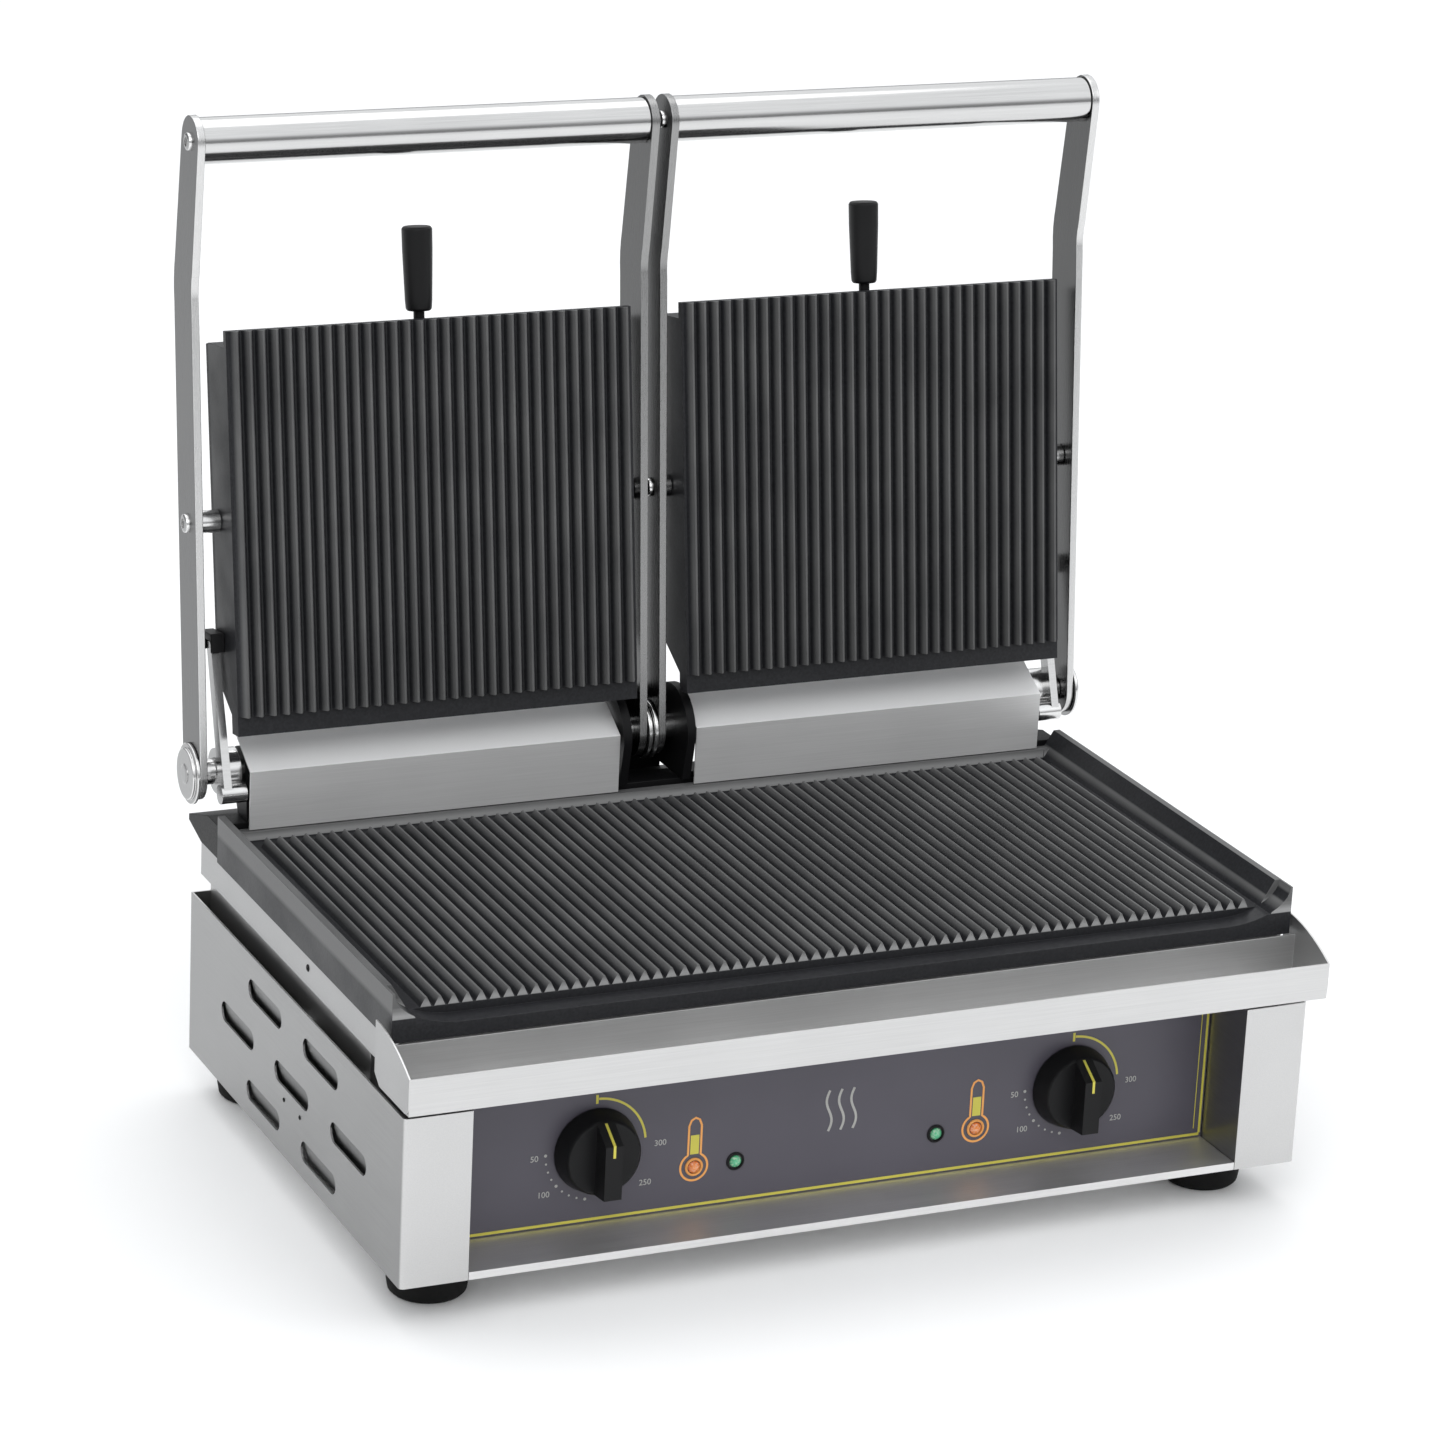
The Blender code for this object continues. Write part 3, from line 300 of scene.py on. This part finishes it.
def dress_cad_nodes():
    """Finish and soften the carried-over nodes. The two slotted panels only get their edges split, because
    dissolving their flat faces tears the slots."""
    for node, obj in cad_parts.items():
        mat = ending(FINISHES, node, FRONT_STEEL)
        obj.data.materials.clear()
        obj.data.materials.append(mat)
        if obj.data.attributes.get("custom_normal"):
            obj.data.attributes.remove(obj.data.attributes["custom_normal"])
        obj.data.shade_smooth()
        weld = obj.modifiers.new("weld", "WELD")
        weld.merge_threshold = 0.00002
        if node.endswith(SLOTTED_PANELS):
            split = obj.modifiers.new("split", "EDGE_SPLIT")
            split.split_angle = math.radians(35.0)
            continue
        flat = obj.modifiers.new("flat", "DECIMATE")
        flat.decimate_type = "DISSOLVE"
        flat.angle_limit = math.radians(0.6)
        bevel = obj.modifiers.new("soft_edges", "BEVEL")
        bevel.width = ending(SOFT_EDGES, node, 0.35) * MM
        bevel.segments = 2
        bevel.limit_method = "ANGLE"
        bevel.angle_limit = math.radians(32.0)
        bevel.use_clamp_overlap = True
        bevel.miter_outer = "MITER_ARC"
        shade = obj.modifiers.new("shade", "WEIGHTED_NORMAL")
        shade.mode = "FACE_AREA"
        shade.weight = 80


# ---------------------------------------------------------------- detail pieces

def piece(name, bm, mat, body, smooth=35.0):
    mesh = bpy.data.meshes.new(name)
    bmesh.ops.recalc_face_normals(bm, faces=bm.faces)
    bm.to_mesh(mesh)
    bm.free()
    mesh.materials.append(mat)
    mesh.shade_smooth()
    mesh.set_sharp_from_angle(angle=math.radians(smooth))
    obj = bpy.data.objects.new(name, mesh)
    bpy.context.scene.collection.objects.link(obj)
    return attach(obj, body)


def turn(bm, profile, at, axis, steps=28):
    """Add a turned solid: profile of (radius, height) from the axis at the bottom to the axis at the top."""
    frame_axes = Vector(axis).normalized().to_track_quat("Z", "Y").to_matrix()
    rings = []
    for radius, height in profile:
        if radius < 1e-6:
            rings.append([bm.verts.new(Vector(at) * MM + frame_axes @ Vector((0, 0, height)) * MM)])
            continue
        ring = []
        for i in range(steps):
            t = 2 * math.pi * i / steps
            place = Vector((radius * math.cos(t), radius * math.sin(t), height))
            ring.append(bm.verts.new((Vector(at) + frame_axes @ place) * MM))
        rings.append(ring)
    for low, high in zip(rings, rings[1:]):
        for i in range(steps):
            j = (i + 1) % steps
            if len(low) == 1:
                bm.faces.new((low[0], high[i], high[j]))
            elif len(high) == 1:
                bm.faces.new((low[i], low[j], high[0]))
            else:
                bm.faces.new((low[i], low[j], high[j], high[i]))


def slab(bm, points, y, thickness):
    """Add a flat plate: a closed outline of (x, z) extruded towards -Y from y."""
    low = [bm.verts.new(Vector((x, y, z)) * MM) for x, z in points]
    high = [bm.verts.new(Vector((x, y - thickness, z)) * MM) for x, z in points]
    count = len(points)
    bm.faces.new(low)
    bm.faces.new(list(reversed(high)))
    for i in range(count):
        j = (i + 1) % count
        bm.faces.new((low[i], low[j], high[j], high[i]))


def ribbon(bm, path, width, y, thickness=PRINT, closed=False):
    """Add a printed line of constant width along a path of (x, z)."""
    count = len(path)
    edges = []
    for i, (x, z) in enumerate(path):
        before = path[i - 1] if i or closed else path[0]
        after = path[(i + 1) % count] if i < count - 1 or closed else path[-1]
        way = Vector((after[0] - before[0], after[1] - before[1])).normalized()
        across = Vector((-way.y, way.x)) * width / 2
        edges.append((Vector((x, z)) + across, Vector((x, z)) - across))
    rows = []
    for left, right in edges:
        rows.append([bm.verts.new(Vector((p.x, y - d, p.y)) * MM)
                     for p, d in ((left, 0), (left, thickness), (right, thickness), (right, 0))])
    spans = list(zip(rows, rows[1:])) + ([(rows[-1], rows[0])] if closed else [])
    for a, b in spans:
        for i in range(4):
            j = (i + 1) % 4
            bm.faces.new((a[i], a[j], b[j], b[i]))
    if not closed:
        bm.faces.new(rows[0])
        bm.faces.new(list(reversed(rows[-1])))


def arc(x, z, radius, start, end, steps=28):
    """Points of an arc, degrees clockwise from twelve o'clock."""
    points = []
    for i in range(steps + 1):
        t = math.radians(start + (end - start) * i / steps)
        points.append((x + radius * math.sin(t), z + radius * math.cos(t)))
    return points


def disc(x, z, radius, steps=20):
    return arc(x, z, radius, 0.0, 360.0 * (steps - 1) / steps, steps - 1)


SCREW = ((0.0, -0.2), (1.0, -0.2), (1.0, 0.45), (0.93, 0.75), (0.75, 0.95), (0.55, 1.0), (0.5, 0.95), (0.5, 0.3),
         (0.0, 0.2))


def screws(name, radius, height, places, body, mat=TURNED_STEEL):
    """Domed socket screws as one piece: places are (point, outward axis)."""
    bm = bmesh.new()
    for at, axis in places:
        turn(bm, [(r * radius, h * height) for r, h in SCREW], at, axis)
    return piece(name, bm, mat, body)


def number(text, x, z, size):
    """A printed number of the dial as a mesh, centred on (x, z)."""
    curve = bpy.data.curves.new("number", "FONT")
    curve.body = text
    curve.size = size * MM
    curve.align_x = "CENTER"
    curve.align_y = "CENTER"
    curve.extrude = PRINT / 2 * MM
    obj = bpy.data.objects.new("number", curve)
    bpy.context.scene.collection.objects.link(obj)
    bpy.context.view_layer.update()
    mesh = bpy.data.meshes.new_from_object(obj.evaluated_get(bpy.context.evaluated_depsgraph_get()))
    bpy.data.objects.remove(obj)
    place = Matrix.Translation(Vector((x, PANEL_Y - PRINT / 2, z)) * MM)
    mesh.transform(place @ Matrix.Rotation(math.radians(90.0), 4, "X"))
    return mesh


def panel_print():
    """Everything printed on the control panel: border, dial scales, thermometers, heat waves."""
    y = PANEL_Y
    bm = bmesh.new()
    low, high = LEDGE_Z + 1.9, 127.0
    ribbon(bm, [(-PANEL_X + 1.6, low), (PANEL_X - 1.6, low)], 1.7, y)
    for side in (-1, 1):
        ribbon(bm, [(side * (PANEL_X - 1.6), low + 0.85), (side * (PANEL_X - 1.6), high)], 1.5, y)
        ribbon(bm, [(side * (PANEL_X - 5.6), low + 4.0), (side * (PANEL_X - 5.6), high)], 0.5, y)
    for _, side in SIDES:
        x = side * KNOB_X
        ribbon(bm, arc(x, KNOB_Z, 31.5, 2.0, 84.0), 1.4, y)
        ribbon(bm, [(x, KNOB_Z + 28.5), (x, KNOB_Z + 34.0)], 1.5, y)
    piece("panel_lines", bm, YELLOW, "base")

    bm = bmesh.new()
    for _, side in SIDES:
        x = side * HEAT_X
        ribbon(bm, [(x, LAMP_Z + 8.0), (x, LAMP_Z + 20.0)], 5.4, y)
    piece("thermometer_fill", bm, YELLOW, "base")

    bm = bmesh.new()
    for _, side in SIDES:
        x = side * HEAT_X
        bulb = arc(x, LAMP_Z, 8.6, 28.0, 332.0, 40)
        stem = [(x - 4.0, LAMP_Z + 26.0), (x - 2.6, LAMP_Z + 29.6), (x, LAMP_Z + 31.0), (x + 2.6, LAMP_Z + 29.6),
                (x + 4.0, LAMP_Z + 26.0)]
        ribbon(bm, [*bulb, *stem], 1.3, y, closed=True)
    piece("thermometer_outlines", bm, ORANGE, "base")

    bm = bmesh.new()
    for _, side in SIDES:
        x = side * KNOB_X
        for i in range(9):
            t = 190.0 + 10.0 * i
            px, pz = arc(x, KNOB_Z, 31.0, t, t + 1.0, 1)[0]
            slab(bm, disc(px, pz, 0.95 if i % 4 == 0 else 0.65, 12), y, PRINT)
    for i in range(3):
        wave = []
        for k in range(17):
            t = k / 16
            wave.append((-6.0 + 8.0 * i + 1.9 * math.sin(2 * math.pi * t), 68.0 + 26.0 * t))
        ribbon(bm, wave, 1.5, y)
    piece("dial_marks", bm, PALE, "base")

    labels = bmesh.new()
    for _, side in SIDES:
        x = side * KNOB_X
        for text, around, reach in (("300", 92.0, 41.0), ("250", 128.0, 41.0), ("50", 268.0, 38.0),
                                    ("100", 232.0, 40.0)):
            px, pz = arc(x, KNOB_Z, reach, around, around + 1.0, 1)[0]
            mesh = number(text, px, pz, 5.2)
            labels.from_mesh(mesh)
            bpy.data.meshes.remove(mesh)
    piece("dial_numbers", labels, PALE, "base")


def lamp_bezels():
    """A thin ring around each pilot lamp: printed orange for heat, black for power."""
    profile = [(BEZEL_R, 0.0), (BEZEL_R + 1.5, 0.0), (BEZEL_R + 1.5, 0.7), (BEZEL_R + 0.9, 1.3),
               (BEZEL_R + 0.2, 1.0), (BEZEL_R, 0.0)]
    for word, x in (("heat", HEAT_X), ("power", POWER_X)):
        bm = bmesh.new()
        for _, side in SIDES:
            turn(bm, profile, (side * x, PANEL_Y, LAMP_Z), (0, -1, 0))
        piece(f"{word}_lamp_bezels", bm, ORANGE if word == "heat" else BLACK_PLASTIC, "base")


def knob_pointers():
    """Painted line along the sloping end of each knob's grip bar."""
    crest = PANEL_Y - KNOB_DEPTH
    shoulder = KNOB_R - 2.5
    for name, side in SIDES:
        bm = bmesh.new()
        x = side * KNOB_X
        start = Vector((0.0, PANEL_Y - 13.6, KNOB_Z + shoulder - 1.6))
        end = Vector((0.0, crest, KNOB_Z + KNOB_R / 2 + 0.4))
        tail = Vector((0.0, crest, KNOB_Z + 6.0))
        out = Vector((0.0, -0.75, 0.66)) * 0.25
        rows = []
        for p, lift in ((start, out), (end, out), (tail, Vector((0.0, -0.25, 0.0)))):
            rows.append([bm.verts.new((p + lift * k + Vector((x + dx, 0.0, 0.0))) * MM)
                         for dx, k in ((-0.8, -0.4), (-0.8, 1.0), (0.8, 1.0), (0.8, -0.4))])
        for a, b in zip(rows, rows[1:]):
            for i in range(4):
                j = (i + 1) % 4
                bm.faces.new((a[i], a[j], b[j], b[i]))
        bm.faces.new(rows[0])
        bm.faces.new(list(reversed(rows[-1])))
        piece(f"{name}_knob_pointer", bm, YELLOW, f"{name}_control")


def arm_screws(side, y, z):
    """Places of the two screws at (y, z), one on the outward face of each arm of a lid."""
    return [((side * ARM_OUTER, y, z), (side, 0, 0)), ((side * ARM_INNER, y, z), (-side, 0, 0))]


def fasteners():
    """Screws of the handle tubes, side pins, hinge discs, skirt and panels."""
    pin_y = HINGE_Y + PIN_ALONG * math.sin(LEAN)
    pin_z = HINGE_Z + PIN_ALONG * math.cos(LEAN)
    for name, side in SIDES:
        screws(f"{name}_tube_screws", 5.5, 2.4, arm_screws(side, TUBE_Y, TUBE_Z), f"{name}_lid")
        screws(f"{name}_pin_screws", 6.0, 2.6, arm_screws(side, pin_y, pin_z), f"{name}_lid")
        middle = [((side * DISC_FACE, HINGE_Y, HINGE_Z), (side, 0, 0))]
        screws(f"{name}_disc_screw", 6.2, 0.8, middle, f"{name}_lid")
        skirt = [((side * SKIRT_X, -9.0, 153.0), (side, 0, 0))]
        screws(f"{name}_skirt_screw", 2.2, 0.6, skirt, "base", BLACK_SHEET)
        panel = [((side * BODY_X, y, 62.0), (side, 0, 0)) for y in (11.0, -17.0)]
        screws(f"{name}_panel_rivets", 1.4, 0.5, panel, "base", BLACK_SHEET)
    back = [((x, BACK_Y, z), (0, 1, 0)) for x in (-276.0, -92.0, 92.0, 276.0) for z in (36.0, 120.0)]
    screws("back_panel_screws", 3.6, 1.8, back, "base")


# ---------------------------------------------------------------- floor, light, camera

def studio():
    bpy.ops.mesh.primitive_plane_add(size=24.0, location=(0.0, 0.0, -0.0002))
    floor = bpy.context.object
    floor.name = "floor"
    mat = Nodes("floor_paper")
    tone = mat.mix(mat.span(mat.noise(3.0), 0.3, 0.7), (0.95, 0.95, 0.95), (0.97, 0.97, 0.97))
    mat.link(tone, mat.shader.inputs["Base Color"])
    mat.set(Roughness=0.85, Specular_IOR_Level=0.2)
    floor.data.materials.append(mat.mat)

    world = bpy.data.worlds.new("studio")
    bpy.context.scene.world = world
    world.use_nodes = True
    tree = world.node_tree
    split = tree.nodes.new("ShaderNodeSeparateXYZ")
    tree.links.new(tree.nodes.new("ShaderNodeTexCoord").outputs["Generated"], split.inputs["Vector"])
    ramp = tree.nodes.new("ShaderNodeMapRange")
    ramp.interpolation_type = "SMOOTHSTEP"
    for key, number in (("From Min", 0.08), ("From Max", 0.42), ("To Min", 0.28), ("To Max", 1.12)):
        ramp.inputs[key].default_value = number
    tree.links.new(split.outputs["Z"], ramp.inputs["Value"])
    tree.nodes["Background"].inputs["Color"].default_value = (0.97, 0.985, 1.0, 1.0)
    tree.links.new(ramp.outputs["Result"], tree.nodes["Background"].inputs["Strength"])

    for name, place, size, power in (
        ("key", (-1.4, -2.6, 2.9), 2.2, 24.0),
        ("fill", (2.8, -1.6, 1.9), 2.0, 10.0),
        ("top", (0.2, 0.8, 3.2), 2.6, 16.0),
    ):
        light = bpy.data.lights.new(name, "AREA")
        light.shape = "DISK"
        light.size = size
        light.energy = power
        lamp = bpy.data.objects.new(name, light)
        lamp.location = place
        lamp.rotation_euler = (Vector((0.0, 0.0, 0.2)) - Vector(place)).to_track_quat("-Z", "Y").to_euler()
        bpy.context.scene.collection.objects.link(lamp)


# The camera: its place is in metres, its angles in degrees
CAMERA_PLACE = (-1.23749, -2.61579, 1.25533)
CAMERA_AZIMUTH, CAMERA_ELEVATION, CAMERA_ROLL = -24.95, 18.74, 2.82
CAMERA_LENS, CAMERA_SENSOR = 126.64, 36.0


def camera():
    data = bpy.data.cameras.new("camera")
    data.lens = CAMERA_LENS
    data.sensor_width = CAMERA_SENSOR
    cam = bpy.data.objects.new("camera", data)
    turn_by = Matrix.Rotation(math.radians(CAMERA_AZIMUTH), 4, "Z")
    tilt = Matrix.Rotation(math.radians(90.0 - CAMERA_ELEVATION), 4, "X")
    roll = Matrix.Rotation(math.radians(CAMERA_ROLL), 4, "Z")
    cam.matrix_world = Matrix.Translation(CAMERA_PLACE) @ turn_by @ tilt @ roll
    bpy.context.scene.collection.objects.link(cam)
    bpy.context.scene.camera = cam
    bpy.context.scene.view_settings.view_transform = "Standard"


dress_cad_nodes()
panel_print()
lamp_bezels()
knob_pointers()
fasteners()
studio()
camera()
